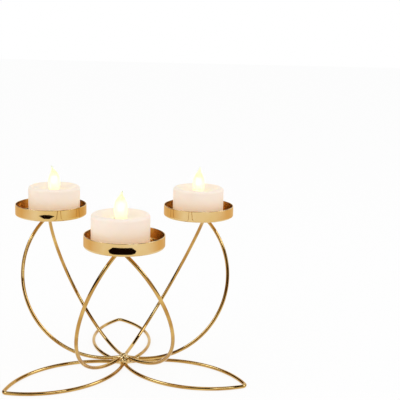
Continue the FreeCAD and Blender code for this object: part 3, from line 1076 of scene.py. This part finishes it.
def dark_dome(name, radius, foot, top, open_bearing, open_share, material):
    """The dark part of the room: a dome over the set, open below its foot, above its top and to one side.

    foot and top are elevations, and the side is open beyond a share of the radius.
    """
    shape = bmesh.new()
    bmesh.ops.create_uvsphere(shape, u_segments=48, v_segments=32, radius=radius)
    side = way_to(open_bearing)
    cut(shape, UP * radius * math.sin(math.radians(foot)), -UP, clear=True)
    cut(shape, UP * radius * math.sin(math.radians(top)), UP, clear=True)
    cut(shape, side * radius * open_share, side, clear=True)
    bmesh.ops.reverse_faces(shape, faces=shape.faces)
    for_mirrors_only(staged(shape, name, material))


def softbox(name, bearing, elevation, distance, half_width, material):
    """A bright square that faces the stand."""
    way = way_to(bearing, elevation)
    place = Matrix.Translation(way * distance) @ (-way).to_track_quat("Z", "Y").to_matrix().to_4x4()
    for_mirrors_only(flat_card(name, half_width, place, material))


def pointed_band(name, cup, distance, low, point, high, bearing, half_width, taper, material):
    """A dark band in front of a cup, bent round the cup's axis, that narrows to a point at both ends.

    low, point and high are the heights of its lower edge, its points and its upper edge, and each half
    of it narrows over the last 1 / taper of its width.
    """
    centre, _, _, _ = round_box(cup)
    axis = Vector((centre.x, centre.y, 0))
    start = axis + way_to(bearing - half_width) * distance
    shape = bmesh.new()
    ends = [shape.verts.new(start + UP * height) for height in (low, high)]
    edge = shape.edges.new(ends)
    bmesh.ops.spin(
        shape,
        geom=ends + [edge],
        cent=axis,
        axis=UP,
        angle=math.radians(2 * half_width),
        steps=32,
    )
    for vert in shape.verts:
        turn = math.atan2(vert.co.y - axis.y, vert.co.x - axis.x) - math.radians(bearing)
        to_end = 1 - abs(math.remainder(turn, 2 * math.pi)) / math.radians(half_width)
        vert.co.z = point + (vert.co.z - point) * min(1, taper * to_end)
    for_mirrors_only(staged(shape, name, material))


def stage_cards():
    """Surroundings that only mirrors see, so that the gold has its dark, deep and bright lines."""
    shades = colours()
    dark = mirrored_glow(new_material("dark_card"), {"Color": shades.dark_card})
    warm = new_material("warm_card")
    mirrored_glow(warm, links={"Color": warmer_to_the_back(warm, grey(1.0), shades.warm_card)})
    bright = mirrored_glow(new_material("bright_card"), {"Color": shades.bright_card, "Strength": 6.0})
    floor_ring("warm_floor", inner=0.33, outer=1.2, lift=1.0 * MM, material=warm)
    dark_dome("dark_room", radius=2.4, foot=8, top=75, open_bearing=75, open_share=0.65, material=dark)
    softbox("softbox_right", bearing=0, elevation=40, distance=1.6, half_width=0.29, material=bright)
    softbox("softbox_front", bearing=-63, elevation=48, distance=1.6, half_width=0.31, material=bright)
    softbox("softbox_left", bearing=181, elevation=49, distance=1.6, half_width=0.33, material=bright)
    pointed_band(
        "band_front",
        "cup_front",
        distance=0.07,
        low=0.0900,
        point=0.0971,
        high=0.0995,
        bearing=-94.5,
        half_width=32,
        taper=3,
        material=dark,
    )
    pointed_band(
        "band_left",
        "cup_left",
        distance=0.07,
        low=0.0974,
        point=0.0996,
        high=0.1006,
        bearing=-96.5,
        half_width=21,
        taper=1.5,
        material=dark,
    )


# The point that the lamps face.
LAMP_AIM = Vector((0, 0, 0.07))


def area_lamp(name, place, power, width):
    """A square lamp that faces the middle of the stand."""
    light = bpy.data.lights.new(name, "AREA")
    light.energy = power
    light.size = width
    lamp = bpy.data.objects.new(name, light)
    lamp.location = place
    lamp.rotation_euler = (LAMP_AIM - place).to_track_quat("-Z", "Y").to_euler()
    bpy.context.scene.collection.objects.link(lamp)


def lamps():
    """A broad key lamp from the upper left and a weaker one from the right."""
    area_lamp("key_lamp", place=Vector((-0.9, -0.7, 1.1)), power=3.3, width=0.9)
    area_lamp("fill_lamp", place=Vector((1.1, -0.3, 0.8)), power=2.0, width=0.8)


# The photograph's camera: it stands round the origin and is then turned until the origin
# falls on its own pixel of the square image.
IMAGE_PIXELS = 400
CAMERA_AZIMUTH = math.radians(0.25)
CAMERA_ELEVATION = math.radians(22.25)
CAMERA_DISTANCE = 0.6354
FOCAL_PIXELS = 846.8
ORIGIN_PIXEL = (123.86, 364.04)
SENSOR_MM = 36.0


def camera():
    """Put the camera where the photograph was taken."""
    data = bpy.data.cameras.new("photo_camera")
    data.sensor_width = SENSOR_MM
    data.lens = FOCAL_PIXELS / IMAGE_PIXELS * SENSOR_MM
    made = bpy.data.objects.new("photo_camera", data)
    bpy.context.scene.collection.objects.link(made)
    level = math.cos(CAMERA_ELEVATION)
    back = Vector(
        (math.sin(CAMERA_AZIMUTH) * level, -math.cos(CAMERA_AZIMUTH) * level, math.sin(CAMERA_ELEVATION))
    )
    right = Vector((math.cos(CAMERA_AZIMUTH), math.sin(CAMERA_AZIMUTH), 0))
    up = back.cross(right)
    half = IMAGE_PIXELS / 2
    across = (ORIGIN_PIXEL[0] - half) / FOCAL_PIXELS
    upwards = (half - ORIGIN_PIXEL[1]) / FOCAL_PIXELS
    to_origin = Vector((across, upwards, -1))
    turn = Vector((0, 0, -1)).rotation_difference(to_origin.normalized()).to_matrix()
    made.matrix_world = (turn @ Matrix((right, up, back))).transposed().to_4x4()
    made.location = back * CAMERA_DISTANCE
    bpy.context.scene.camera = made


class LOTUS_PT_panel(bpy.types.Panel):
    """Lists the pieces of the stand, its sizes and its colours."""

    bl_idname = "LOTUS_PT_panel"
    bl_label = "Lotus Stand"
    bl_space_type = "VIEW_3D"
    bl_region_type = "UI"
    bl_category = "Lotus Stand"

    def draw(self, context):
        column = self.layout.column()
        for operator in OPERATORS:
            column.operator(operator.bl_idname)
        for group in (context.scene.lotus_sizes, context.scene.lotus_colours):
            for name in group.__annotations__:
                column.prop(group, name)


OPERATORS = (
    LOTUS_OT_wires,
    LOTUS_OT_welds,
    LOTUS_OT_cups,
    LOTUS_OT_candle_shells,
    LOTUS_OT_flames,
    LOTUS_OT_candle_works,
    LOTUS_OT_stage,
)
CLASSES = (LotusSizes, LotusColours, *OPERATORS, LOTUS_PT_panel)


def register():
    """Register the classes and hang the settings on the scene."""
    for cls in CLASSES:
        bpy.utils.register_class(cls)
    bpy.types.Scene.lotus_sizes = bpy.props.PointerProperty(type=LotusSizes)
    bpy.types.Scene.lotus_colours = bpy.props.PointerProperty(type=LotusColours)


def unregister():
    """Take the settings and the classes away again."""
    del bpy.types.Scene.lotus_colours
    del bpy.types.Scene.lotus_sizes
    for cls in reversed(CLASSES):
        bpy.utils.unregister_class(cls)


def main():
    """Build every piece and the stage."""
    register()
    bpy.ops.lotus.wires()
    bpy.ops.lotus.welds()
    bpy.ops.lotus.cups()
    bpy.ops.lotus.candle_shells()
    bpy.ops.lotus.flames()
    bpy.ops.lotus.candle_works()
    bpy.ops.lotus.stage()


if __name__ == "__main__":
    main()
